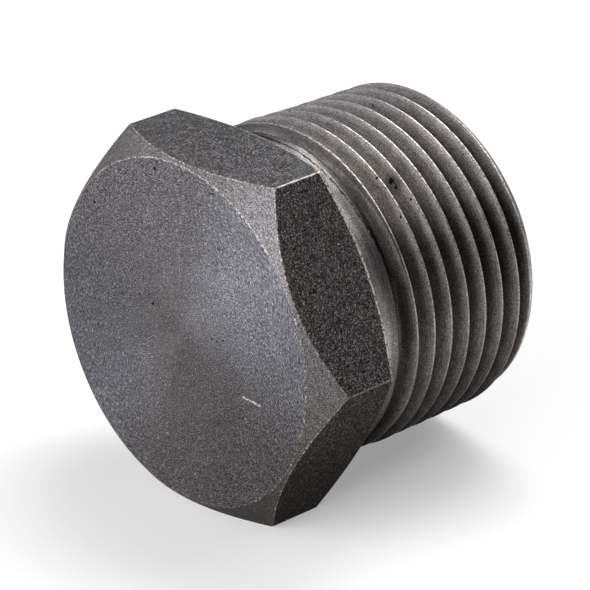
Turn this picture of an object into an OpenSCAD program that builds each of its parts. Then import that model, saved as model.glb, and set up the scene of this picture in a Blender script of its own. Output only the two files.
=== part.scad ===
// Hex head plug for a tapered pipe socket, made from one bar of steel.
// It lies on one flat of its head: +Z is up, the thread points along +Y and the head's
// face looks along -Y. The origin is under the middle of the part, on the surface it lies on.

/* [Head] */
// Width of the hexagon across its flats
across_flats = 35; // [32:0.5:46]
// Height of the head, from its face to the bearing face behind it
head_height = 10; // [8:0.5:18]
// Diameter of the turned circle on the front face
face_d = 34.4; // [30:0.1:34.9]
// Angle between the front chamfer and the face
face_chamfer_angle = 41; // [20:1:50]
// Diameter of the bearing face behind the head
bearing_d = 33.8; // [33.6:0.1:34.9]
// Angle between the rear chamfer and the bearing face
bearing_chamfer_angle = 28; // [15:1:45]

/* [Neck] */
// Diameter of the smooth neck
neck_d = 32.12; // [31:0.02:32.4]
// Length of the neck, from the head to the foot of the thread's lead-in cone
neck_length = 3; // [2:0.25:8]
// Radius of the corner between the neck and the head
neck_fillet = 0.5; // [0.2:0.1:0.7]

/* [Thread] */
// Length from the end of the neck to the end of the plug
thread_length = 18.25; // [12:0.05:30]
// Outside diameter of the thread at the gauge plane
gauge_d = 33.249; // [33:0.001:34]
// Distance of the gauge plane from the end of the plug
gauge_length = 9.7; // [6:0.1:14]
// Pitch, for 11 threads to the inch
pitch = 2.309; // [1.5:0.001:2.6]
// Included angle of the thread's groove
thread_angle = 55; // [50:1:60]
// Radius of the groove's rounded bottom
root_round = 0.32; // [0.24:0.02:0.36]
// Radius of the thread's rounded crest
crest_round = 0.14; // [0.1:0.02:0.3]
// Length over which the tapered thread grows 1 mm in diameter
taper_ratio = 16; // [12:1:32]
// Angle about the axis where the groove's bottom leaves the neck
start_angle = -94; // [-180:1:180]
// Turns in which the cutter sinks to the full depth
run_out_turns = 1; // [0.5:0.1:2]
// Angle of the cone that leads from the neck up to the thread's crests
lead_in_angle = 20; // [10:1:45]
// Diameter of the end face
end_face_d = 31.4; // [28:0.1:31.5]
// Angle between the end chamfer and the axis
end_chamfer_angle = 33; // [20:1:60]

/* [Hidden] */
steel = [0.27, 0.26, 0.25];

total_length = head_height + neck_length + thread_length;
neck_r = neck_d/2;
face_r = face_d/2;
bearing_r = bearing_d/2;
end_face_r = end_face_d/2;
neck_end = head_height + neck_length;

// The groove has straight flanks, a round bottom and round crests. Each round ends the sharp
// triangle short of its corner, by this share of the round's radius.
corner_share = 1/sin(thread_angle/2) - 1;
sharp_height = pitch/2/tan(thread_angle/2);
thread_depth = sharp_height - (root_round + crest_round)*corner_share;
// Half the width of each round and how far it rises from the bottom or drops from the crest
root_width = root_round*cos(thread_angle/2);
root_rise = root_round*(1 - sin(thread_angle/2));
crest_width = crest_round*cos(thread_angle/2);
crest_drop = crest_round*(1 - sin(thread_angle/2));

// Rows of points run along the helix at these shares of the pitch: the groove's bottom, the
// two ends of its round, and the same three places on the crest.
row_shares = [
    0, root_width/pitch, 0.5 - crest_width/pitch, 0.5, 0.5 + crest_width/pitch,
    1 - root_width/pitch
];
row_heights = [
    0, root_rise, thread_depth - crest_drop, thread_depth, thread_depth - crest_drop, root_rise
];
rows_per_turn = len(row_shares);
columns = 72;
// Rows closer than this to an end of the threaded stretch are moved onto it
snap = 0.01;

// The shank's root inside the head, and the rings that round the corner behind the head
root_depth = 1;
corner_turn = 45;
ring_z = head_height + neck_fillet*(1 - cos(corner_turn));
ring_r = neck_r + neck_fillet*(1 - sin(corner_turn));
foot_depth = 0.2;
foot_r = ring_r + (ring_z - head_height + foot_depth)/tan(corner_turn/2);

// Radius of the tapered outside that the crests reach, at a height along the axis
function crest_r(z) = gauge_d/2 + (total_length - gauge_length - z)/taper_ratio/2;
// Radius of the turned blank: neck, lead-in cone, tapered outside and end chamfer
function blank_r(z) = min(
    neck_r + max(0, z - neck_end)*tan(lead_in_angle),
    crest_r(z),
    end_face_r + (total_length - z)*tan(end_chamfer_angle)
);
// Height of the groove's bottom, turn by turn, at an angle about the axis
function groove_z(turn, angle) = neck_end + pitch*(turn + (angle - start_angle)/360);
// How far the groove's bottom is still from its full depth, where the cutter comes in
function groove_rise(z) = thread_depth*max(0, neck_end - z)/(pitch*run_out_turns);

// A point of the helical rows: row number, column number
function row_turn(row) = floor(row/rows_per_turn);
function row_place(row) = row - rows_per_turn*row_turn(row);
function column_angle(column) = 360*column/columns;
function row_z(row, column) =
    groove_z(row_turn(row) + row_shares[row_place(row)], column_angle(column));
// Height of the bottom that a row belongs to: the nearest one along the axis
function own_groove_z(row, column) =
    groove_z(row_turn(row) + (row_shares[row_place(row)] > 0.5 ? 1 : 0), column_angle(column));
function row_r(row, column) =
    let (bottom = own_groove_z(row, column))
    min(
        blank_r(row_z(row, column)),
        crest_r(row_z(row, column)) - thread_depth + row_heights[row_place(row)] + groove_rise(bottom)
    );

// Radius of the grooved shank at any height and angle
function groove_form(offset) =
    offset < root_width
        ? root_round - sqrt(root_round*root_round - offset*offset)
        : root_rise + (offset - root_width)/tan(thread_angle/2);
function shank_r(z, angle) =
    let (turn = round((z - groove_z(0, angle))/pitch))
    let (bottom = groove_z(turn, angle))
    min(
        blank_r(z),
        crest_r(z) - thread_depth + groove_rise(bottom)
            + min(groove_form(abs(z - bottom)), thread_depth)
    );

function on_circle(r, angle, z) = [r*cos(angle), r*sin(angle), z];

module head() {
    corner_r = across_flats/2/cos(30);
    reach = corner_r + 1;
    intersection() {
        cylinder(h = head_height, r = corner_r, $fn = 6);
        rotate_extrude($fn = 96)
            polygon([
                [0, 0],
                [face_r, 0],
                [reach, (reach - face_r)*tan(face_chamfer_angle)],
                [reach, head_height - (reach - bearing_r)*tan(bearing_chamfer_angle)],
                [bearing_r, head_height],
                [0, head_height]
            ]);
    }
}

// Neck and thread as one closed skin. Below and above the helical rows stand level rings.
module shank() {
    helix_low = neck_end - pitch*run_out_turns;
    helix_high = total_length - (crest_r(total_length) - end_face_r)/tan(end_chamfer_angle);
    low_turn = floor((helix_low - groove_z(0, 360))/pitch) - 1;
    high_turn = ceil((helix_high - groove_z(0, 0))/pitch) + 1;
    first_row = low_turn*rows_per_turn;
    last_row = high_turn*rows_per_turn;
    row_count = last_row - first_row + 1;

    // On each column the last row at or under the threaded stretch, and the first at or over it
    low_rows = [
        for (column = [0:columns - 1])
            max([for (row = [first_row:last_row]) if (row_z(row, column) < helix_low + snap) row])
    ];
    high_rows = [
        for (column = [0:columns - 1])
            min([for (row = [first_row:last_row]) if (row_z(row, column) > helix_high - snap) row])
    ];
    helix_points = [
        for (column = [0:columns - 1])
            for (row = [first_row:last_row])
                row <= low_rows[column] ?
                    on_circle(shank_r(helix_low, column_angle(column)), column_angle(column), helix_low)
                : row >= high_rows[column] ?
                    on_circle(shank_r(helix_high, column_angle(column)), column_angle(column), helix_high)
                : on_circle(row_r(row, column), column_angle(column), row_z(row, column))
    ];

    low_rings = [
        [head_height - root_depth, neck_r],
        [head_height - foot_depth, foot_r],
        [ring_z, ring_r],
        [head_height + neck_fillet, neck_r]
    ];
    chamfer_rings = 6;
    high_levels = [
        for (ring = [1:chamfer_rings]) helix_high + (total_length - helix_high)*ring/chamfer_rings
    ];
    ring_points = concat(
        [
            for (ring = low_rings)
                for (column = [0:columns - 1])
                    on_circle(ring[1], column_angle(column), ring[0])
        ],
        [
            for (z = high_levels)
                for (column = [0:columns - 1])
                    on_circle(shank_r(z, column_angle(column)), column_angle(column), z)
        ]
    );

    // Number of a point. Past the last column a helical row goes on one turn higher.
    function helix_id(column, row) =
        column == columns
            ? helix_id(0, row + rows_per_turn)
            : column*row_count + min(max(row, low_rows[column]), high_rows[column]) - first_row;
    function ring_id(ring, column) =
        columns*row_count + ring*columns + (column == columns ? 0 : column);
    function low_edge_id(column) = helix_id(column % columns, first_row);
    function high_edge_id(column) = helix_id(column % columns, last_row);
    // The two triangles between four points, without one that has shrunk to a line
    function quad(a, b, c, d) = concat(
        a == b || b == c || a == c ? [] : [[a, b, c]],
        a == c || c == d || a == d ? [] : [[a, c, d]]
    );
    function flat_list(lists) = [for (list = lists) for (item = list) item];

    low_count = len(low_rings);
    top_ring = low_count + len(high_levels) - 1;
    helix_faces = flat_list([
        for (column = [0:columns - 1])
            for (row = [first_row - rows_per_turn:last_row - 1])
                quad(
                    helix_id(column, row), helix_id(column, row + 1),
                    helix_id(column + 1, row + 1), helix_id(column + 1, row)
                )
    ]);
    ring_faces = flat_list([
        for (column = [0:columns - 1])
            for (ring = [0:top_ring - 1])
                if (ring != low_count - 1)
                    quad(
                        ring_id(ring, column), ring_id(ring + 1, column),
                        ring_id(ring + 1, column + 1), ring_id(ring, column + 1)
                    )
    ]);
    joining_faces = flat_list([
        for (column = [0:columns - 1])
            concat(
                quad(
                    ring_id(low_count - 1, column), low_edge_id(column),
                    low_edge_id(column + 1), ring_id(low_count - 1, column + 1)
                ),
                quad(
                    high_edge_id(column), ring_id(low_count, column),
                    ring_id(low_count, column + 1), high_edge_id(column + 1)
                )
            )
    ]);
    caps = [
        [for (column = [0:columns - 1]) ring_id(0, column)],
        [for (column = [columns - 1:-1:0]) ring_id(top_ring, column)]
    ];
    polyhedron(
        points = concat(helix_points, ring_points),
        faces = concat(helix_faces, ring_faces, joining_faces, caps)
    );
}

module hex_head_plug() {
    color(steel)
        translate([0, -total_length/2, across_flats/2])
            rotate([-90, 0, 0])
                union() {
                    head();
                    shank();
                }
}

hex_head_plug();
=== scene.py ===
import math

import bpy
import numpy as np
from mathutils import Matrix, Vector


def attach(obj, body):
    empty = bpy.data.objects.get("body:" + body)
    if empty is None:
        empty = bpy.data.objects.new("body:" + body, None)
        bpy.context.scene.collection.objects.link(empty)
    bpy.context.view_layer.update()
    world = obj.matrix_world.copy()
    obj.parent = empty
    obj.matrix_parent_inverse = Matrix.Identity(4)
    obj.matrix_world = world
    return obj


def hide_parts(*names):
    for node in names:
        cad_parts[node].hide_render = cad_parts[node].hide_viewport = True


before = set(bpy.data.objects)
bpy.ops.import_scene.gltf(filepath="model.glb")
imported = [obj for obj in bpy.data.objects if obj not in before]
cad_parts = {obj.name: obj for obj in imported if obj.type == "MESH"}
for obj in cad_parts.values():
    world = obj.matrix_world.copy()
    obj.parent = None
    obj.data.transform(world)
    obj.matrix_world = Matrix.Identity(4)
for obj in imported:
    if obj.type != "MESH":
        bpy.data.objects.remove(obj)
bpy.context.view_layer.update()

# Camera
# A long lens looks down on the plug's face from its right. The plug lies on a flat of its head,
# thread away from the lens. Turn, drop and lean are the lens's angles, side step and rise its
# shift across the line to the middle of the face.
MM = 0.001
ACROSS_FLATS = 35.0
TOTAL_LENGTH = 31.25
TURN = math.radians(46.916)
DROP = math.radians(25.522)
LEAN = math.radians(0.518)
FACE_CENTRE = Vector((0, -TOTAL_LENGTH / 2, ACROSS_FLATS / 2)) * MM
DISTANCE = 353.7 * MM
SIDE_STEP = 10.746 * MM
RISE = 3.641 * MM

ahead = Vector((-math.sin(TURN) * math.cos(DROP), math.cos(TURN) * math.cos(DROP), -math.sin(DROP)))
level = Vector((math.cos(TURN), math.sin(TURN), 0))
above = level.cross(ahead)
right = level * math.cos(LEAN) + above * math.sin(LEAN)
up = above * math.cos(LEAN) - level * math.sin(LEAN)

camera_data = bpy.data.cameras.new("camera")
camera_data.lens = 229.9
camera_data.sensor_width = 36
camera_data.clip_start = 0.01
camera = bpy.data.objects.new("camera", camera_data)
bpy.context.scene.collection.objects.link(camera)
place = Matrix((right, up, -ahead)).transposed().to_4x4()
place.translation = FACE_CENTRE + right * SIDE_STEP + up * RISE - ahead * DISTANCE
camera.matrix_world = place
bpy.context.scene.camera = camera

# The plug
# One piece of dark steel: a hexagon head, a short neck and a tapered right-hand pipe thread. The
# face, chamfers, neck and thread carry the tool's fine lines, the six flats the bar's grainy skin.

# Sizes in mm, heights along the axis from the head's face, angles about it from +X towards +Z
HEAD_HEIGHT = 10.0
FACE_RADIUS = 17.2
FACE_CHAMFER = math.radians(41)
BEARING_RADIUS = 16.9
BEARING_CHAMFER = math.radians(28)
NECK_RADIUS = 16.06
NECK_FILLET = 0.5
NECK_END = 13.0
# The rows that follow the helix cover this stretch
THREAD_START = NECK_END - 1.2
THREAD_STOP = TOTAL_LENGTH - 0.08
GAUGE_RADIUS = 33.249 / 2
GAUGE_PLANE = TOTAL_LENGTH - 9.7
PITCH = 2.309
HALF_ANGLE = math.radians(27.5)
START_ANGLE = math.radians(94)
# Length over which the taper grows 1 mm in radius
TAPER = 32
# The lead-in cone is flatter below and steeper above, and turns from one into the other between
# two heights over the axis, as shares of the radius
LEAD_IN_BELOW = math.radians(11)
LEAD_IN_ABOVE = math.radians(33)
LEAD_IN_TURNS = [-0.6, 0.1]
# The groove is at its full depth from this height on, and comes in over this share of a turn
FULL_DEPTH = NECK_END + 0.7
RUN_IN_TURNS = 0.6
# How far the thread is cut off centre next to the head, how far the crests stand over the taper
# at the end, where the first stops and the second starts, and the length of either change
OFF_CENTRE = 0.15
PROUD = 0.15
CENTRED_FROM = 22
PROUD_FROM = 20
CHANGE_LENGTH = 9
END_RADIUS = 15.7
END_CHAMFER = math.radians(37)
CORNER_ROUND = 0.22
EDGE_ROUND = 0.12
END_ROUND = 0.05
# How much smaller the end face is than the chamfer's last row, in radius
END_STEP = 0.03
ROOT_ROUND = 0.32
CREST_ROUND = 0.14
# Rounds where the blank's own surfaces meet, and where a groove meets the blank
BLANK_ROUND = 0.05
GROOVE_ROUND = 0.04

# The sharp triangle of the thread is cut short by each round
SHARP_HEIGHT = PITCH / 2 / math.tan(HALF_ANGLE)
CUT = 1 / math.sin(HALF_ANGLE) - 1
THREAD_DEPTH = SHARP_HEIGHT - (ROOT_ROUND + CREST_ROUND) * CUT
ROOT_WIDTH = ROOT_ROUND * math.cos(HALF_ANGLE)
CREST_WIDTH = CREST_ROUND * math.cos(HALF_ANGLE)
ROOT_RISE = ROOT_ROUND * (1 - math.sin(HALF_ANGLE))

SECTORS = 6
SECTOR_COLUMNS = 56
CORNER_DENSITY = 0.11
# Points on the arc of each rounded edge
ARC_POINTS = 4


def column_angles():
    """Angles about the axis from +X towards +Z, one for each column. In each sixth they crowd
    towards the hexagon's corner: 30 degrees times (a t + (1 - a) t^3), with t from -1 to 1."""
    share = np.arange(-SECTOR_COLUMNS // 2, SECTOR_COLUMNS // 2) / (SECTOR_COLUMNS / 2)
    offset = math.radians(30) * (CORNER_DENSITY * share + (1 - CORNER_DENSITY) * share**3)
    corners = math.radians(60) * (np.arange(SECTORS) - SECTORS // 2)
    return (corners[:, None] + offset[None, :]).ravel()


def hexagon_radius(angle):
    """Distance from the axis to the hexagon's side: half the width across flats over the cosine
    of the angle from the flat's middle, or a small circle where the corner is rounded."""
    from_corner = (angle + math.radians(30)) % math.radians(60) - math.radians(30)
    flat = ACROSS_FLATS / 2 / np.cos(math.radians(30) - np.abs(from_corner))
    centre = (ACROSS_FLATS / 2 - CORNER_ROUND) / math.cos(math.radians(30))
    inside = np.maximum(CORNER_ROUND**2 - (centre * np.sin(from_corner)) ** 2, 0)
    rounded = centre * np.cos(from_corner) + np.sqrt(inside)
    tangent = math.radians(30) - math.atan2(centre * math.sin(math.radians(30)), ACROSS_FLATS / 2)
    return np.where(np.abs(from_corner) < tangent, rounded, flat)


def rounded_section(corners, rounds, steps):
    """Rows of points along a section with rounded corners. corners is (corner, column, 2), with
    radius and height along the axis; each inner corner becomes an arc of its own radius, tangent
    to both sides, and steps says how many spans each straight stretch has."""
    before, corner, after = corners[:-2], corners[1:-1], corners[2:]
    back = (before - corner) / np.linalg.norm(before - corner, axis=-1, keepdims=True)
    on = (after - corner) / np.linalg.norm(after - corner, axis=-1, keepdims=True)
    half = np.arccos(np.clip((back * on).sum(-1, keepdims=True), -1, 1)) / 2
    radius = np.asarray(rounds)[:, None, None]
    inward = (back + on) / np.linalg.norm(back + on, axis=-1, keepdims=True)
    middle = corner + inward * radius / np.sin(half)
    first = corner + back * radius / np.tan(half)
    last = corner + on * radius / np.tan(half)
    sweep = math.pi - 2 * half
    arc_share = np.linspace(0, 1, ARC_POINTS)[:, None, None, None]
    arcs = middle + (
        np.sin((1 - arc_share) * sweep) * (first - middle) + np.sin(arc_share * sweep) * (last - middle)
    ) / np.sin(sweep)
    rows = []
    starts = np.concatenate([corners[:1], last])
    ends = np.concatenate([first, corners[-1:]])
    for index, count in enumerate(steps):
        share = np.linspace(0, 1, count + 1)[:, None, None]
        rows.append(starts[index] * (1 - share) + ends[index] * share)
        if index < len(steps) - 1:
            rows.append(arcs[1:-1, index])
    return np.concatenate(rows)


def soft_min(a, b, width):
    """The smaller of two lengths, with a round of the given width where they cross."""
    return (a + b - np.sqrt((a - b) ** 2 + width**2)) / 2


def crest_radius(height, angle):
    """Radius of the tapered outside that the crests reach: 1 mm more in diameter every 16 mm
    towards the head. Next to the head the thread is cut off centre, upwards, and towards the
    end the crests stand a little higher than the taper."""
    off_centre = OFF_CENTRE * np.sin(angle) * np.clip((CENTRED_FROM - height) / CHANGE_LENGTH, 0, 1)
    proud = PROUD * np.clip((height - PROUD_FROM) / CHANGE_LENGTH, 0, 1)
    return GAUGE_RADIUS + (GAUGE_PLANE - height) / TAPER + off_centre + proud


def groove_height(angle):
    """Height of one groove bottom: the helix drops one pitch for each turn from +X to +Z."""
    return NECK_END - PITCH * (angle - START_ANGLE) / math.tau


def blank_radius(height, angle):
    """Radius of the turned blank: the smallest of neck and lead-in cone, taper and end chamfer,
    with a small round where two of them meet. The cone is steeper above than below."""
    slopes = [math.tan(LEAD_IN_BELOW), math.tan(LEAD_IN_ABOVE)]
    slope = np.interp(np.sin(angle), LEAD_IN_TURNS, slopes)
    blank = NECK_RADIUS + np.maximum(0, height - NECK_END) * slope
    blank = soft_min(blank, crest_radius(height, angle), BLANK_ROUND)
    chamfer = END_RADIUS + (TOTAL_LENGTH - height) * math.tan(END_CHAMFER)
    return soft_min(blank, chamfer, BLANK_ROUND)


def shank_radius(height, angle):
    """Radius of the neck and thread: the blank cut by the nearest groove, which is two flanks
    with a round bottom and crest, and rises over part of a turn where the cutter comes in."""
    turn = np.round((height - groove_height(angle)) / PITCH)
    bottom = groove_height(angle) + PITCH * turn
    offset = np.abs(height - bottom)
    to_crest = PITCH / 2 - offset
    flank = ROOT_RISE + (offset - ROOT_WIDTH) / math.tan(HALF_ANGLE)
    root = ROOT_ROUND - np.sqrt(np.maximum(ROOT_ROUND**2 - offset**2, 0))
    crest = THREAD_DEPTH - CREST_ROUND + np.sqrt(np.maximum(CREST_ROUND**2 - to_crest**2, 0))
    form = np.where(offset < ROOT_WIDTH, root, np.where(to_crest < CREST_WIDTH, crest, flank))
    rise = THREAD_DEPTH * np.maximum(0, FULL_DEPTH - bottom) / (RUN_IN_TURNS * PITCH)
    groove = crest_radius(height, angle) - THREAD_DEPTH + form + rise
    return soft_min(blank_radius(height, angle), groove, GROOVE_ROUND)


angles = column_angles()
columns = len(angles)
side = hexagon_radius(angles)
whole = np.ones(columns)


def ring(radius, height):
    """One corner of the section for every column."""
    return np.stack([radius * whole, height * whole], -1)


head_corners = np.stack([
    ring(0, 0),
    ring(FACE_RADIUS, 0),
    ring(side, (side - FACE_RADIUS) * math.tan(FACE_CHAMFER)),
    ring(side, HEAD_HEIGHT - (side - BEARING_RADIUS) * math.tan(BEARING_CHAMFER)),
    ring(BEARING_RADIUS, HEAD_HEIGHT),
    ring(NECK_RADIUS, HEAD_HEIGHT),
    ring(NECK_RADIUS, THREAD_START),
])
head_rounds = [EDGE_ROUND, EDGE_ROUND, EDGE_ROUND, EDGE_ROUND, NECK_FILLET]
head_steps = [8, 3, 6, 3, 1, 5]
head_rows = rounded_section(head_corners, head_rounds, head_steps)[:-1]

# The thread's rows follow the helix. Each keeps its place in the pitch, crowded on the rounds.
half_shares = np.concatenate([
    np.linspace(0, ROOT_WIDTH, 4)[:-1],
    np.linspace(ROOT_WIDTH, PITCH / 2 - CREST_WIDTH, 7)[:-1],
    PITCH / 2 - CREST_WIDTH * np.cos(np.linspace(0, math.pi / 2, 5)),
]) / PITCH
shares = np.concatenate([half_shares, 1 - half_shares[-2:0:-1]])
TURN_ROWS = len(shares)
low_turn = math.floor((THREAD_START - groove_height(angles[0])) / PITCH) - 1
high_turn = math.ceil((THREAD_STOP - groove_height(angles[-1])) / PITCH) + 1
helix_offsets = (np.arange(low_turn, high_turn)[:, None] + shares[None, :]).ravel() * PITCH
helix_heights = groove_height(angles)[None, :] + helix_offsets[:, None]
# Rows closer than this to an end of the threaded stretch are moved onto it
SNAP = 0.012
low_row = (helix_heights < THREAD_START + SNAP).sum(0) - 1
high_row = len(helix_offsets) - (helix_heights > THREAD_STOP - SNAP).sum(0)
row_numbers = np.arange(len(helix_offsets))[:, None]
helix_heights = np.where(row_numbers <= low_row, THREAD_START, helix_heights)
helix_heights = np.where(row_numbers >= high_row, THREAD_STOP, helix_heights)
helix_radii = shank_radius(helix_heights, angles[None, :])

# The end: a small round, then the flat end face
stop_radius = helix_radii[-1]
end_corners = np.stack([
    np.stack([stop_radius, THREAD_STOP * whole], -1),
    np.stack([stop_radius - END_STEP, TOTAL_LENGTH * whole], -1),
    ring(0, TOTAL_LENGTH),
])
end_rows = rounded_section(end_corners, [END_ROUND], [1, 6])[1:]


def corner_grids(values):
    """A grid of values by row and column as four grids, one for each corner of its cells."""
    return [values[:-1, :-1], values[:-1, 1:], values[1:, 1:], values[1:, :-1]]


def stack_faces(ids, zones, *layers):
    """Two triangles for each cell between rows of point numbers, facing outward, with the zone
    of the cell's row and the layers' corner values. Triangles that shrink to a line are left out."""
    corners = corner_grids(ids)
    cell_zones = np.broadcast_to(zones[:, None], corners[0].shape).ravel()
    faces, face_zones, values = [], [], []
    for pick in ((0, 2, 1), (0, 3, 2)):
        triangle = np.stack([corners[k].ravel() for k in pick], -1)
        sound = (triangle[:, 0] != triangle[:, 1]) & (triangle[:, 1] != triangle[:, 2])
        sound &= triangle[:, 0] != triangle[:, 2]
        faces.append(triangle[sound])
        face_zones.append(cell_zones[sound])
        values.append(np.stack([
            np.stack([np.broadcast_to(layer[k], corners[0].shape).ravel() for k in pick], -1)[sound]
            for layer in layers
        ], -1))
    return np.concatenate(faces), np.concatenate(face_zones), np.concatenate(values)


def section_lengths(rows):
    """Distance along the section from its first row, for each row and column."""
    steps = np.linalg.norm(np.diff(rows, axis=0), axis=-1)
    return np.concatenate([np.zeros((1, rows.shape[1])), np.cumsum(steps, 0)])


def close_column(values):
    """The grid with its first column once more at its end."""
    return np.concatenate([values, values[:, :1]], 1)


# Point numbers: the helical rows column by column, then the head's rows, then the end's
helix_count = len(helix_offsets)
head_base = helix_count * columns
head_ids = head_base + np.arange(len(head_rows))[:, None] * columns + np.arange(columns)[None, :]
end_base = head_base + head_ids.size
end_ids = end_base + np.arange(len(end_rows))[:, None] * columns + np.arange(columns)[None, :]
# All columns meet in one point at the middle of either face
head_ids[0] = head_ids[0, 0]
end_ids[-1] = end_ids[-1, 0]
low_edge = low_row + helix_count * np.arange(columns)
high_edge = high_row + helix_count * np.arange(columns)

# Zones of the surface, one material each. A zone's edge layers hold the distances, in mm across
# the tool's path, from its first edge and to its last; on the rounded edges both are nothing.
FACE, CHAMFER, FLAT, SHANK = range(4)
head_zones = [FACE, CHAMFER, FLAT, CHAMFER, CHAMFER, SHANK]
turns_around = np.append(angles, angles[0] + math.tau) / math.tau + 0.5
# The distance that the thread's faces give, which have no edge near them
FAR = 9.0


def zone_layers(rows, steps, zones):
    """Zone of each gap between rows, and the two edge layers as corner grids."""
    lengths = close_column(section_lengths(rows))
    gap_zones, first, last, edge = [], [], [], []
    row = 0
    for index, count in enumerate(steps):
        gap_zones += [zones[index]] * count
        first += [row] * count
        last += [row + count] * count
        edge += [False] * count
        row += count
        if index < len(steps) - 1:
            gap_zones += [SHANK if zones[index + 1] == SHANK else CHAMFER] * (ARC_POINTS - 1)
            first += [row] * (ARC_POINTS - 1)
            last += [row] * (ARC_POINTS - 1)
            edge += [True] * (ARC_POINTS - 1)
            row += ARC_POINTS - 1
    away = np.where(edge, 0, 1)[:, None]
    low, high = lengths[: len(gap_zones)], lengths[1 : len(gap_zones) + 1]
    from_first = [(values - lengths[first]) * away for values in (low, high)]
    to_last = [(lengths[last] - values) * away for values in (low, high)]
    layers = [
        [lower[:, :-1], lower[:, 1:], upper[:, 1:], upper[:, :-1]]
        for lower, upper in (from_first, to_last)
    ]
    return np.array(gap_zones), layers


low_edge_row = np.stack([helix_radii[0], THREAD_START * whole], -1)[None]
high_edge_row = np.stack([stop_radius, THREAD_STOP * whole], -1)[None]
head_stack_rows = np.concatenate([head_rows, low_edge_row])
end_stack_rows = np.concatenate([high_edge_row, end_rows])
head_stack = close_column(np.concatenate([head_ids, low_edge[None, :]]))
end_stack = close_column(np.concatenate([high_edge[None, :], end_ids]))
head_gaps, head_edges = zone_layers(head_stack_rows, head_steps, head_zones)
end_gaps, end_edges = zone_layers(end_stack_rows, [1, 6], [SHANK, FACE])

# A helical row that passes the last column goes on in the first, one turn lower
helix_rows = np.arange(-TURN_ROWS, helix_count + TURN_ROWS)[:, None]
clamped = np.clip(helix_rows, low_row, high_row) + helix_count * np.arange(columns)[None, :]
clamped_on = np.clip(helix_rows[:, 0] - TURN_ROWS, low_row[0], high_row[0])[:, None]
helix_stack = np.concatenate([clamped, clamped_on], 1)
helix_across = (helix_rows // TURN_ROWS + shares[helix_rows % TURN_ROWS]) * PITCH
helix_across = np.broadcast_to(helix_across, (len(helix_rows), len(turns_around)))
far_corners = [np.full((1, 1), FAR)] * 4


def path_layers(across):
    """The two layers of the tool's path as corner grids: turns about the axis, mm across it."""
    return [corner_grids(np.broadcast_to(turns_around, across.shape)), corner_grids(across)]


head_across = close_column(section_lengths(head_stack_rows))
end_across = close_column(section_lengths(end_stack_rows))
helix_gaps = np.full(len(helix_stack) - 1, SHANK)
stacks = [
    (head_stack, head_gaps, head_across, head_edges),
    (helix_stack, helix_gaps, helix_across, [far_corners] * 2),
    (end_stack, end_gaps, end_across, end_edges),
]
parts = [stack_faces(ids, zones, *path_layers(across), *edges) for ids, zones, across, edges in stacks]
triangles, triangle_zones, corner_values = (np.concatenate(lists) for lists in zip(*parts))

other_points = np.concatenate([head_rows.reshape(-1, 2), end_rows.reshape(-1, 2)])
all_radii = np.concatenate([helix_radii.T.ravel(), other_points[:, 0]])
all_heights = np.concatenate([helix_heights.T.ravel(), other_points[:, 1]])
all_angles = np.concatenate([
    np.repeat(angles, helix_count), np.tile(angles, len(head_rows)), np.tile(angles, len(end_rows))
])
# How far each point lies below the blank, and from the nearest long edge of the hexagon
groove_depths = blank_radius(helix_heights, angles[None, :]) - helix_radii
below_blank = np.concatenate([groove_depths.T.ravel(), np.zeros(len(other_points))])
off_corner = np.abs((all_angles + math.radians(30)) % math.radians(60) - math.radians(30))
half_flat = ACROSS_FLATS / 2 * math.tan(math.radians(30))
to_corner = half_flat - all_radii * np.sin(math.radians(30) - off_corner)
points = np.stack([
    all_radii * np.cos(all_angles),
    all_heights - TOTAL_LENGTH / 2,
    all_radii * np.sin(all_angles) + ACROSS_FLATS / 2,
], -1)
used, triangles = np.unique(triangles, return_inverse=True)
triangles = triangles.reshape(-1, 3)
points = points[used]

# Nicks in neck and thread: place in mm from the face's middle, radius and depth
NICKS = [
    (8.97, 18.52, 13.15, 0.3, 0.22), (9.6, 18.6, 12.7, 0.2, 0.12), (8.98, 16.6, 14.05, 0.22, 0.14),
    (12.25, 16.61, 11.15, 0.24, 0.14), (-5.09, 18.63, 15.89, 0.22, 0.1), (-0.66, 25.34, 15.95, 0.2, 0.1),
]
from_face = points - np.array([0, -TOTAL_LENGTH / 2, ACROSS_FLATS / 2])
off_axis = from_face * np.array([1, 0, 1])
outward = off_axis / np.maximum(np.hypot(off_axis[:, 0], off_axis[:, 2]), 1)[:, None]
for x, y, z, size, drop in NICKS:
    distance = np.linalg.norm(from_face - np.array([x, y, z]), axis=1)
    points -= outward * (drop * np.exp(-((distance / size) ** 2)))[:, None]
points *= MM

plug_mesh = bpy.data.meshes.new("plug")
plug_mesh.from_pydata(points.tolist(), [], triangles.tolist())
for name, first in (("tool_path", 0), ("edges", 2)):
    layer = plug_mesh.uv_layers.new(name=name)
    layer.data.foreach_set("uv", corner_values[..., first : first + 2].astype(np.float32).ravel())
for name, values in (("below_blank", below_blank), ("to_corner", to_corner)):
    stored = plug_mesh.attributes.new(name, "FLOAT", "POINT")
    stored.data.foreach_set("value", values[used].astype(np.float32))
# Painted light and shade on the six flats, one tone each for how it is lit, from the flat facing 30
# degrees up
PAINTED_FLAT_SHADES = np.array([0.57, 1.04, 0.8, 0.7, 0.5, 0.25])
centres = points[triangles].mean(1)
centre_angles = np.arctan2(centres[:, 2] - ACROSS_FLATS / 2 * MM, centres[:, 0])
flat_shades = PAINTED_FLAT_SHADES[np.floor(centre_angles / math.radians(60)).astype(int) % 6]
stored = plug_mesh.attributes.new("flat_shade", "FLOAT", "FACE")
stored.data.foreach_set("value", flat_shades.astype(np.float32))
plug_mesh.polygons.foreach_set("material_index", triangle_zones.astype(np.int32))
plug_mesh.update()
plug_mesh.shade_smooth()
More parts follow.
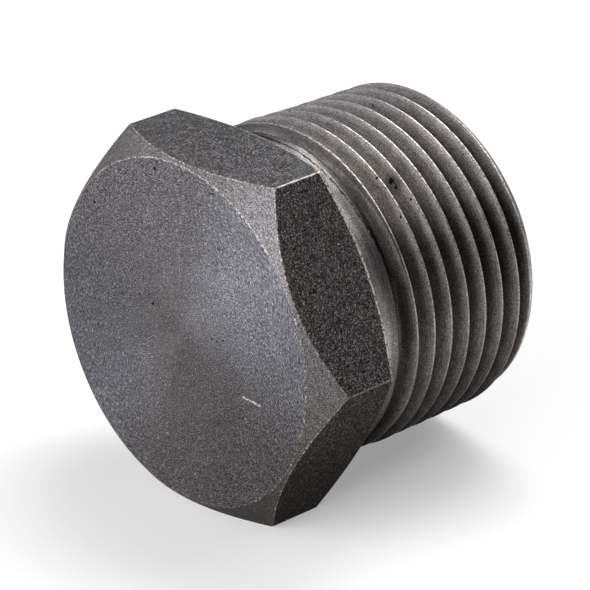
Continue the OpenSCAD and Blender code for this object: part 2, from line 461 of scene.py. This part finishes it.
# Normals weighted by area, so that a flank or flat is even up to the round beside it
firsts, seconds, thirds = (points[triangles[:, corner]] for corner in range(3))
facing = np.cross(seconds - firsts, thirds - firsts)
normals = np.zeros_like(points)
for corner in range(3):
    np.add.at(normals, triangles[:, corner], facing)
normals /= np.linalg.norm(normals, axis=1, keepdims=True)
plug_mesh.normals_split_custom_set_from_vertices(normals.tolist())
plug = bpy.data.objects.new("plug", plug_mesh)
bpy.context.scene.collection.objects.link(plug)

# Colours of the face's bare metal, and of pits, burrs, rust and brown chips anywhere. DARK also
# paints the shadow line at the first groove's edge
STEEL = (0.113, 0.1075, 0.1155)
DARK = (0.014, 0.012, 0.011, 1)
BURR = (0.5, 0.47, 0.44, 1)
RUST = (0.2, 0.11, 0.06, 1)
BROWN = (0.42, 0.29, 0.2, 1)


def node(tree, kind, inputs=(), **settings):
    """A new shader node with its settings made, and its inputs filled in order: a number or
    tuple is set, a socket is linked and None is passed over."""
    made = tree.nodes.new("ShaderNode" + kind)
    for name, value in settings.items():
        setattr(made, name, value)
    for socket, value in zip(made.inputs, inputs):
        if isinstance(value, bpy.types.NodeSocket):
            tree.links.new(value, socket)
        elif value is not None:
            socket.default_value = value
    return made


def calc(tree, operation, *values):
    """The result of one sum on numbers or sockets."""
    return node(tree, "Math", values, operation=operation).outputs[0]


def times(tree, product, *factors):
    """The product of all the given numbers and sockets."""
    for factor in factors:
        product = calc(tree, "MULTIPLY", product, factor)
    return product


def spread(tree, value, low, high, start=0.0, end=1.0, smooth=False):
    """The value moved from the range low to high onto the range start to end, and held there."""
    kind = "SMOOTHSTEP" if smooth else "LINEAR"
    return node(tree, "MapRange", (value, low, high, start, end), interpolation_type=kind).outputs[0]


def noise(tree, vector, scale, detail=2.0, roughness=0.5):
    """Cloudy noise about 0.5, with features about 1 / scale wide."""
    made = node(tree, "TexNoise", (vector,), noise_dimensions="3D")
    made.inputs["Scale"].default_value = scale
    made.inputs["Detail"].default_value = detail
    made.inputs["Roughness"].default_value = roughness
    return made.outputs[0]


def speckle(tree, value, middle, strength):
    """Tone of a speckled finish: 2.4 to the power of the strength times (value - middle)."""
    return calc(tree, "POWER", 2.4, times(tree, calc(tree, "SUBTRACT", value, middle), strength))


def attribute(tree, name):
    """The number that the mesh keeps under a name."""
    return node(tree, "Attribute", attribute_name=name).outputs["Fac"]


def layer_parts(tree, name):
    """The two numbers of one of the mesh's layers."""
    layer_value = node(tree, "UVMap", uv_map=name).outputs[0]
    return node(tree, "SeparateXYZ", (layer_value,)).outputs[:2]


def blend(tree, factor, first, second):
    """One colour passing into another."""
    made = node(tree, "Mix", data_type="RGBA")
    for name, value in (("Factor_Float", factor), ("A_Color", first), ("B_Color", second)):
        socket = next(item for item in made.inputs if item.identifier == name)
        if isinstance(value, bpy.types.NodeSocket):
            tree.links.new(value, socket)
        else:
            socket.default_value = value
    return next(item for item in made.outputs if item.identifier == "Result_Color")


def shade(tree, colour, factor):
    """A colour made lighter or darker by a factor."""
    return node(tree, "VectorMath", (colour, None, None, factor), operation="SCALE").outputs[0]


def tint(tree, colour, other):
    """A colour multiplied by another."""
    return node(tree, "VectorMath", (colour, other), operation="MULTIPLY").outputs[0]


def plug_axes(tree):
    """Places on the plug in mm from the middle of the head's face: the place itself, height
    along the axis, distance from it, and the direction about it as a pair of shares."""
    place = node(tree, "TexCoord").outputs["Object"]
    scaled = node(tree, "VectorMath", (place, None, None, 1 / MM), operation="SCALE").outputs[0]
    start = (0, -TOTAL_LENGTH / 2, ACROSS_FLATS / 2)
    own = node(tree, "VectorMath", (scaled, start), operation="SUBTRACT").outputs[0]
    x, height, z = node(tree, "SeparateXYZ", (own,)).outputs
    squares = calc(tree, "ADD", times(tree, x, x), times(tree, z, z))
    radius = calc(tree, "SQRT", calc(tree, "MAXIMUM", squares, 0.0001))
    return own, height, radius, calc(tree, "DIVIDE", x, radius), calc(tree, "DIVIDE", z, radius)


# Radius at which the length of a turned line is counted, in mm
LINE_RADIUS = 16


def turned_lines(tree, axes, across, length, width, detail=2.0):
    """Noise drawn out along the tool's path: the direction about the axis times the radius over
    the lines' length, and the distance across the path over their width."""
    around = [times(tree, share, LINE_RADIUS / length) for share in axes[3:]]
    vector = node(tree, "CombineXYZ", (*around, calc(tree, "DIVIDE", across, width))).outputs[0]
    return noise(tree, vector, 1.0, detail)


def spots(tree, own, places):
    """One near the given places and nothing away from them: 1 - distance / radius, sharpened,
    the largest over all places, with a little noise in the outline."""
    ragged = node(tree, "TexNoise", (own,), noise_dimensions="3D")
    ragged.inputs["Scale"].default_value = 4
    noise_colour = ragged.outputs[1]
    offset = node(tree, "VectorMath", (noise_colour, (0.5, 0.5, 0.5)), operation="SUBTRACT").outputs[0]
    bent = node(tree, "VectorMath", (offset, (0.3, 0.3, 0.3), own), operation="MULTIPLY_ADD").outputs[0]
    whole_mask = None
    for x, y, z, radius in places:
        off = node(tree, "VectorMath", (bent, (x, y, z)), operation="DISTANCE").outputs["Value"]
        mask = spread(tree, off, radius, radius * 0.6)
        whole_mask = mask if whole_mask is None else calc(tree, "MAXIMUM", whole_mask, mask)
    return whole_mask


def steel(name, roughness, anisotropy):
    """A metal material whose shine is drawn out across the tool's path by the anisotropy."""
    made = bpy.data.materials.new(name)
    made.use_nodes = True
    tree = made.node_tree
    shader = tree.nodes["Principled BSDF"]
    shader.inputs["Metallic"].default_value = 1
    shader.inputs["Roughness"].default_value = roughness
    shader.inputs["Anisotropic"].default_value = anisotropy
    shader.inputs["Anisotropic Rotation"].default_value = 0.25
    shader.inputs["Specular Tint"].default_value = (0.5, 0.5, 0.5, 1)
    tangent = node(tree, "Tangent", direction_type="UV_MAP", uv_map="tool_path")
    tree.links.new(tangent.outputs[0], shader.inputs["Tangent"])
    plug_mesh.materials.append(made)
    return tree, shader


def finish(tree, shader, colour, *reliefs):
    """The colour joined to the metal, and a normal tilted by each relief in turn: a height of 0
    to 1 and the distance in mm that it stands for."""
    tree.links.new(colour, shader.inputs["Base Color"])
    normal = None
    for relief, distance in reliefs:
        made = node(tree, "Bump")
        made.inputs["Distance"].default_value = distance * MM
        tree.links.new(relief, made.inputs["Height"])
        if normal is not None:
            tree.links.new(normal, made.inputs["Normal"])
        normal = made.outputs[0]
    tree.links.new(normal, shader.inputs["Normal"])


def edge_glints(tree, axes, colour, reach, share):
    """The colour with broken dots along the rounded edges: near an edge, where noise about 0.2 mm
    wide is over a threshold. A second noise gives each dot a place between rust and pale burr,
    paler behind the head's middle; on top the dots are more and paler, a painted highlight."""
    own, height, _, _, upward = axes
    near = spread(tree, calc(tree, "MINIMUM", *layer_parts(tree, "edges")), reach, reach * 0.3)
    cloud = calc(tree, "ADD", noise(tree, own, 5.2, 1.0), spread(tree, upward, 0.2, 1.0, 0.0, 0.06))
    dots = times(tree, near, spread(tree, cloud, 0.62 - share, 0.68 - share))
    behind = spread(tree, height, 5.0, 6.0, 0.0, 0.1)
    on_top = spread(tree, upward, 0.4, 1.0, 0.0, 0.12)
    paleness = calc(tree, "ADD", noise(tree, own, 2.9, 0.0), calc(tree, "ADD", behind, on_top))
    return blend(tree, dots, colour, blend(tree, spread(tree, paleness, 0.42, 0.58), RUST, BURR))


# The head's face: fine turned arcs, a few pits and one scratch. A pit is a place and a radius.
FACE_PITS = [
    (-3.51, 0, 15.79, 0.26), (-7.7, 0, 14.01, 0.16), (-12.23, 0, 9.47, 0.18), (-9.47, 0, 0.67, 0.16),
    (-8.43, 0, 1.25, 0.16), (-7.11, 0, 1.51, 0.18), (-5.8, 0, 2.08, 0.14), (-4.49, 0, 2.54, 0.16),
    (-3.9, 0, 1.75, 0.22), (4.44, 0, 1.08, 0.18), (5.97, 0, 1.43, 0.18), (5.14, 0, 1.03, 0.14),
    (-7.14, 0, 0.02, 0.14), (2.82, 0, 16.2, 0.14), (4.61, 0, 15.89, 0.14), (2.95, 0, 13.63, 0.14),
]
# Painted sheen on the turned face, the bow-tie of its reflection: brightest and a little bluish at
# the upper right, bluish too on the left. The side below is painted darker and warmer, and the top
# a little lighter. A fan is the degrees about the axis it points at, the distances from the axis
# over which it comes in, and its colour.
SHEEN_FANS = [
    (39, 0.5, 9.0, (1.34, 1.39, 1.47, 1)), (200, 3.0, 9.0, (0.91, 0.94, 0.98, 1)),
    (290, 0.3, 9.0, (0.86, 0.83, 0.8, 1)), (115, 2.0, 8.0, (1.05, 1.05, 1.06, 1)),
]
# Middle of a painted shade near the face's centre
SHADED_MIDDLE = (-0.6, 0, -2.7)
SCRATCH_DROP = 3.16

tree, shader = steel("turned_face", 0.42, 0.72)
axes = plug_axes(tree)
own, height, radius, rightward, upward = axes
arcs = turned_lines(tree, axes, radius, 0.3, 0.05, 0.0)
wide_arcs = turned_lines(tree, axes, radius, 7.0, 0.5)
grain = noise(tree, own, 13.0, 2.0, 0.7)
clouds = noise(tree, own, 0.35)
pits = spots(tree, own, FACE_PITS)
strokes = calc(tree, "ADD", times(tree, arcs, 0.47), times(tree, grain, 0.53))
# Painted shade: the face is darker near its middle
off_shaded_middle = node(tree, "VectorMath", (own, SHADED_MIDDLE), operation="DISTANCE").outputs["Value"]
tone = times(
    tree,
    speckle(tree, strokes, 0.51, 10.0),
    spread(tree, clouds, 0.3, 0.7, 0.92, 1.08),
    spread(tree, wide_arcs, 0.3, 0.7, 0.95, 1.05),
    spread(tree, off_shaded_middle, 0.5, 5.0, 0.8, 1.0, smooth=True),
)
colour = (0.95, 0.95, 0.94, 1)
# Lay each fan of painted sheen and painted shade over the face's colour
for turn, inner, outer, sheen_colour in SHEEN_FANS:
    towards = times(tree, rightward, math.cos(math.radians(turn)))
    towards = calc(tree, "MULTIPLY_ADD", upward, math.sin(math.radians(turn)), towards)
    fan = times(tree, spread(tree, towards, 0.5, 1.0, smooth=True), spread(tree, radius, inner, outer))
    colour = blend(tree, fan, colour, sheen_colour)
colour = shade(tree, tint(tree, colour, STEEL), tone)
colour = edge_glints(tree, axes, colour, 0.07, 0.06)
# Dust, and small chips that are pale or brown, more of them towards the middle
dust = noise(tree, own, 6.0, 0.0)
colour = blend(tree, spread(tree, dust, 0.24, 0.2, 0.0, 0.75), colour, DARK)
chips = calc(tree, "ADD", dust, spread(tree, radius, 4.0, 11.0, 0.05, 0.01))
chip_colour = blend(tree, spread(tree, noise(tree, own, 3.1, 0.0), 0.5, 0.6), BURR, BROWN)
colour = blend(tree, spread(tree, chips, 0.77, 0.8, 0.0, 0.9), colour, chip_colour)
# A short bright scratch: near one line across the face, between two places along it
to_right, _, over_middle = node(tree, "SeparateXYZ", (own,)).outputs
wobble = calc(tree, "MULTIPLY_ADD", noise(tree, own, 2.2), 0.4, SCRATCH_DROP)
off_line = calc(tree, "ABSOLUTE", calc(tree, "ADD", over_middle, wobble))
scratch = times(
    tree,
    spread(tree, off_line, 0.11, 0.06),
    spread(tree, to_right, 8.5, 8.8),
    spread(tree, to_right, 11.4, 10.8),
    spread(tree, height, 1.0, 0.5),
    spread(tree, noise(tree, own, 3.3, 0.0), 0.35, 0.5, 0.3, 1.0),
)
colour = blend(tree, scratch, colour, (0.75, 0.7, 0.66, 1))
colour = blend(tree, pits, colour, DARK)
finish(tree, shader, colour, (arcs, 0.003), (grain, 0.006), (calc(tree, "SUBTRACT", 1.0, pits), 0.06))

# The chamfers: turned, but grainier and lighter, cool above and warmer below, with painted light and
# shade, lighter towards the top and darker below
tree, shader = steel("chamfer", 0.44, 0.4)
axes = plug_axes(tree)
own, _, radius, _, upward = axes
lines = turned_lines(tree, axes, radius, 0.6, 0.1)
grain = noise(tree, own, 9.0, 2.0, 0.7)
tone = times(
    tree,
    spread(tree, lines, 0.3, 0.7, 0.75, 1.25),
    spread(tree, grain, 0.31, 0.69, 0.0, 2.0),
    # Painted light and shade: lighter towards the top, darker below
    spread(tree, upward, -1.0, 0.6, 0.58, 1.12),
)
below = spread(tree, upward, 0.25, -0.15)
colour = shade(tree, blend(tree, below, (0.128, 0.122, 0.129, 1), (0.132, 0.122, 0.118, 1)), tone)
colour = edge_glints(tree, axes, colour, 0.08, 0.08)
finish(tree, shader, colour, (lines, 0.006), (grain, 0.025))

# The flats: the bar's own skin, grainy all over, with dark specks and a worn line at each corner,
# painted brighter on the upper corners. Each flat has its own tone of painted light and shade; the
# darker a flat, the stronger its grain and the warmer its colour.
FLAT_PITS = [(15.09, 2.91, 8.87, 0.26), (16.69, 5.92, 6.1, 0.2)]
# Pale colour of the worn corners, which carry a painted highlight, and of the rear edge's burr
PALE_EDGE_STEEL = (0.62, 0.59, 0.57, 1)

tree, shader = steel("bar_skin", 0.46, 0.0)
axes = plug_axes(tree)
own, height, _, _, upward = axes
# Each flat's tone of painted light and shade
flat_shade = attribute(tree, "flat_shade")
grain = noise(tree, own, 6.5, 2.0, 0.65)
clumps = noise(tree, own, 1.8, 2.0, 0.6)
# Painted light: the flat below the right-hand corner is paler next to it
corner_light = times(tree, spread(tree, upward, -0.5, -0.2, 0.0, 0.5), spread(tree, upward, 0.02, -0.02))
tone = times(
    tree,
    speckle(tree, grain, 0.53, spread(tree, flat_shade, 0.25, 1.0, 12.5, 7.5)),
    spread(tree, clumps, 0.3, 0.7, 0.55, 1.45),
    # Painted shade: darker towards the bottom
    spread(tree, upward, -0.9, -0.5, 0.65, 1.0),
    calc(tree, "ADD", corner_light, 0.95),
    flat_shade,
)
warmth = spread(tree, flat_shade, 0.3, 0.55)
colour = blend(tree, warmth, (0.124, 0.11, 0.103, 1), (0.1195, 0.111, 0.111, 1))
colour = blend(tree, spread(tree, flat_shade, 0.6, 0.9), colour, (0.1165, 0.114, 0.121, 1))
colour = shade(tree, colour, tone)
sparks = times(
    tree,
    spread(tree, noise(tree, own, 4.8, 0.0), 0.69, 0.76),
    spread(tree, flat_shade, 0.2, 0.9, 0.3, 0.6),
)
colour = blend(tree, sparks, colour, (0.34, 0.26, 0.22, 1))
specks = spread(tree, noise(tree, own, 2.4, 1.0), 0.3, 0.24, 0.0, 0.7)
colour = blend(tree, specks, colour, DARK)
colour = edge_glints(tree, axes, colour, 0.07, 0.06)
# Worn corners, paler on the upper ones: wear with a painted highlight
worn_and_lit = times(
    tree,
    spread(tree, attribute(tree, "to_corner"), 0.16, 0.05),
    spread(tree, noise(tree, own, 3.4, 1.0), 0.38, 0.58, 0.15, 1.0),
    spread(tree, upward, 0.1, 0.45, 0.25, 0.6),
)
# The rear edge carries a burr, which the cutter of the neck left, narrower on top
on_top = spread(tree, upward, 0.84, 0.9)
_, to_rear = layer_parts(tree, "edges")
burr_width = spread(tree, on_top, 0.0, 1.0, 0.26, 0.13)
burr = times(
    tree,
    spread(tree, calc(tree, "DIVIDE", to_rear, burr_width), 1.0, 0.5),
    spread(tree, height, 7.0, 8.0),
    spread(tree, on_top, 0.0, 1.0, 1.0, 0.5),
    spread(tree, noise(tree, own, 4.2, 1.0), 0.4, 0.52, 0.12, 1.0),
    spread(tree, upward, -0.05, 0.1),
)
colour = blend(tree, calc(tree, "MAXIMUM", worn_and_lit, burr), colour, PALE_EDGE_STEEL)
colour = blend(tree, spots(tree, own, FLAT_PITS), colour, DARK)
finish(tree, shader, colour, (grain, 0.05))

# Neck and thread: turned lines, flanks with painted shade, crests with painted highlights and some
# wear. The nicks are dark too, and four pits lie between them.
THREAD_PITS = [
    (12.05, 18.63, 10.45, 0.14), (11.3, 18.85, 11.94, 0.16),
    (10.26, 18.19, 11.23, 0.12), (8.0, 16.5, 14.3, 0.1),
]
THREAD_PITS += [(x, y, z, size * 1.25) for x, y, z, size, _ in NICKS[:2]]
THREAD_PITS += [(x, y, z, size * 0.8) for x, y, z, size, _ in NICKS[2:]]
# Place and radius of a darker halo round the largest pit
DARK_HALO = (9.2, 18.52, 12.95, 1.2)
END_BAND = TOTAL_LENGTH - 0.95

tree, shader = steel("turned_shank", 0.42, 0.5)
axes = plug_axes(tree)
own, height, radius, rightward, upward = axes
across_path = calc(tree, "ADD", height, times(tree, radius, 1.7))
lines = turned_lines(tree, axes, across_path, 2.4, 0.16)
grain = noise(tree, own, 7.5, 2.0, 0.7)
clouds = noise(tree, own, 0.8)
depth = attribute(tree, "below_blank")
tone = times(
    tree,
    spread(tree, lines, 0.3, 0.7, 0.75, 1.25),
    spread(tree, grain, 0.25, 0.75, 0.1, 1.9),
    spread(tree, clouds, 0.3, 0.7, 0.85, 1.15),
)
# Painted light and shade: darker below and where it turns from the right to the top, lighter on the
# right and on top
for lower, upper, lower_tone, upper_tone in (
    (-0.8, -0.1, 0.2, 1.0), (0.05, 0.4, 1.46, 0.92), (0.5, 0.95, 1.0, 1.15)
):
    tone = times(tree, tone, spread(tree, upward, lower, upper, lower_tone, upper_tone))
# Painted shade: flanks turn darker and browner down to the middle. The bottom is painted paler
# again, light that evens out its shade, palest above, next to the head.
on_side = spread(tree, upward, 0.75, 0.4)
shaded_flank_colour = blend(tree, on_side, (0.106, 0.098, 0.094, 1), (0.075, 0.067, 0.062, 1))
colour = blend(tree, spread(tree, depth, 0.1, 0.8), (0.134, 0.124, 0.12, 1), shaded_flank_colour)
root_light = times(
    tree,
    spread(tree, height, 14.0, 26.0, 2.2, 0.9),
    spread(tree, upward, 0.2, 0.7, 0.3, 1.0),
)
lit_root_colour = shade(tree, (0.18, 0.165, 0.155), root_light)
colour = blend(tree, spread(tree, depth, 0.7, 1.3), colour, lit_root_colour)
# The neck, painted paler next to the head and painted darker on its shoulder, half way up
is_neck = times(
    tree,
    spread(tree, height, NECK_END + 0.6, NECK_END - 0.2),
    spread(tree, depth, 0.1, 0.0),
)
by_head = spread(tree, height, 11.5, 10.8)
neck_colour = blend(tree, by_head, (0.2, 0.19, 0.186, 1), (0.255, 0.242, 0.237, 1))
off_shoulder = calc(tree, "ABSOLUTE", calc(tree, "SUBTRACT", upward, 0.5))
neck_colour = shade(tree, neck_colour, spread(tree, off_shoulder, 0.0, 0.45, 0.76, 1.18))
colour = blend(tree, is_neck, colour, neck_colour)
# Painted reflection: cooler and a little paler on the left
on_left = spread(tree, rightward, 0.3, -0.2)
colour = tint(tree, colour, blend(tree, on_left, (1, 1, 1, 1), (1.07, 1.09, 1.18, 1)))
# The end chamfer, painted paler: painted light
lit_end_band = times(tree, spread(tree, height, END_BAND, END_BAND + 0.2), spread(tree, depth, 0.2, 0.1))
colour = blend(tree, lit_end_band, colour, (0.3, 0.292, 0.286, 1))
colour = shade(tree, colour, tone)
# The neck is painted darker towards the first groove, and the first flank with it: painted shade.
# The groove's edge is a ragged painted shadow line, rusty in places. Distance before the groove's
# bottom in mm, from the height and the angle about the axis
turned = calc(tree, "SUBTRACT", calc(tree, "ARCTAN2", upward, rightward), START_ANGLE)
before = calc(tree, "SUBTRACT", NECK_END, calc(tree, "MULTIPLY_ADD", turned, PITCH / math.tau, height))
in_front = spread(tree, rightward, -0.5, 0.0)
neck_shade = times(
    tree,
    spread(tree, before, 1.95, 1.4, 0.0, 0.55),
    spread(tree, before, -0.1, 0.3),
    spread(tree, upward, 0.99, 0.85),
    in_front,
)
first_flank_shade = times(
    tree,
    spread(tree, before, 0.1, 0.0),
    spread(tree, before, -1.0, -0.6, 0.0, 0.5),
    spread(tree, upward, 0.85, 0.65),
    in_front,
)
colour = shade(tree, colour, calc(tree, "SUBTRACT", 1.0, calc(tree, "MAXIMUM", neck_shade, first_flank_shade)))
# The groove's ragged edge: a painted shadow line, with rust in places
edge_line_place = calc(tree, "MULTIPLY_ADD", noise(tree, own, 1.6, 3.0, 0.6), -0.5, 0.47)
edge_line_place = calc(tree, "ADD", edge_line_place, spread(tree, upward, 0.35, 0.75, 0.0, 0.4))
off_edge_line = calc(tree, "ABSOLUTE", calc(tree, "SUBTRACT", before, edge_line_place))
lip = times(
    tree,
    spread(tree, off_edge_line, 0.14, 0.07),
    spread(tree, noise(tree, own, 2.2), 0.3, 0.42, 0.4, 1.0),
    in_front,
)
lip_colour = blend(tree, spread(tree, noise(tree, own, 3.7, 0.0), 0.64, 0.7), DARK, RUST)
colour = blend(tree, lip, colour, lip_colour)
# Crest lines: pale beads of painted highlight with some wear, brighter on top, sharp on the far side
# and fading on the side towards the head. The distance from the crest in mm is above zero on that side
_, along = layer_parts(tree, "tool_path")
place_in_pitch = calc(tree, "FRACT", calc(tree, "DIVIDE", along, PITCH))
from_crest = times(tree, calc(tree, "SUBTRACT", 0.5, place_in_pitch), PITCH)
on_thread = times(
    tree,
    spread(tree, from_crest, -0.08, -0.04),
    spread(tree, height, NECK_END + 0.4, NECK_END + 1.4),
    spread(tree, height, END_BAND + 0.3, END_BAND),
)
line = times(tree, spread(tree, from_crest, 0.12, 0.05, 0.0, 0.8), on_thread)
glow = times(tree, spread(tree, from_crest, 0.3, 0.05, 0.0, 0.16), on_thread)
rim = times(
    tree,
    spread(tree, depth, 0.06, 0.1),
    spread(tree, depth, 0.28, 0.18, 0.0, 0.6),
    spread(tree, height, END_BAND - 0.1, END_BAND + 0.05),
)
crest_highlights = times(
    tree,
    calc(tree, "MAXIMUM", calc(tree, "ADD", line, glow), rim),
    spread(tree, noise(tree, own, 5.2, 1.0, 0.6), 0.42, 0.54, 0.15, 1.0),
    spread(tree, upward, -0.25, 0.9, 0.12, 1.0),
)
colour = blend(tree, crest_highlights, colour, (0.8, 0.76, 0.74, 1))
# A darker halo round the largest pit
colour = shade(tree, colour, spread(tree, spots(tree, own, [DARK_HALO]), 0.0, 1.0, 1.0, 0.6))
colour = blend(tree, spots(tree, own, THREAD_PITS), colour, DARK)
finish(tree, shader, colour, (lines, 0.012), (grain, 0.02))

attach(plug, "root")
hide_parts("hex_head_plug")

# The floor and the lights
# White paper under the plug, wide enough to fill the picture. Soft boxes stand round the plug:
# two in front and two on the left light the head's face, and three behind it and on the right
# draw the crests and the flats.
FLOOR_HALF = 1.5
floor_mesh = bpy.data.meshes.new("floor")
floor_mesh.from_pydata(
    [(x * FLOOR_HALF, y * FLOOR_HALF, 0) for x, y in ((-1, -1), (1, -1), (1, 1), (-1, 1))],
    [], [(0, 1, 2, 3)],
)
floor = bpy.data.objects.new("floor", floor_mesh)
bpy.context.scene.collection.objects.link(floor)
paper = bpy.data.materials.new("paper")
paper.use_nodes = True
paper_shader = paper.node_tree.nodes["Principled BSDF"]
paper_shader.inputs["Base Color"].default_value = (0.66, 0.66, 0.66, 1)
paper_shader.inputs["Roughness"].default_value = 0.9
paper_shader.inputs["Emission Color"].default_value = (1, 1, 1, 1)
# The paper glows a little, for the camera and in mirrored rays only, so its shadow stays soft
PAPER_GLOW = 0.3
tree = paper.node_tree
rays = node(tree, "LightPath").outputs
seen = calc(tree, "ADD", rays["Is Camera Ray"], rays["Is Glossy Ray"])
tree.links.new(times(tree, seen, PAPER_GLOW), paper_shader.inputs["Emission Strength"])
floor_mesh.materials.append(paper)

# Distance of each soft box from the plug's middle, and its own height, in m
BOX_DISTANCE = 0.5
BOX_HEIGHT = 0.26


def softbox(name, turn, height, width, power):
    """A rectangular area light that looks at the plug from the box distance: degrees about the
    vertical from +X towards +Y, degrees above the level, width in m and power in W."""
    light = bpy.data.lights.new(name, "AREA")
    light.shape = "RECTANGLE"
    light.size = width
    light.size_y = BOX_HEIGHT
    light.energy = power
    obj = bpy.data.objects.new(name, light)
    bpy.context.scene.collection.objects.link(obj)
    target = Vector((0, 0, ACROSS_FLATS / 2 * MM))
    turn, height = math.radians(turn), math.radians(height)
    level = Vector((math.cos(turn), math.sin(turn), 0))
    direction = level * math.cos(height) + Vector((0, 0, math.sin(height)))
    obj.location = target + direction * BOX_DISTANCE
    obj.rotation_euler = (target - obj.location).to_track_quat("-Z", "Y").to_euler()


softbox("key", -90, 32, 0.5, 1.8)
softbox("front", -84, 8, 0.4, 1.25)
softbox("left", -147, 8, 0.5, 0.7)
softbox("left_high", -153, 32, 0.5, 0.55)
softbox("rear", 116, 60, 0.3, 1.85)
softbox("right", 42, 10, 0.3, 0.26)
softbox("right_rear", 68, 45, 0.3, 0.9)

# The room gives no light of its own
world = bpy.data.worlds.new("room")
bpy.context.scene.world = world
world.use_nodes = True
world.node_tree.nodes["Background"].inputs["Strength"].default_value = 0.0

bpy.context.scene.view_settings.view_transform = "Standard"
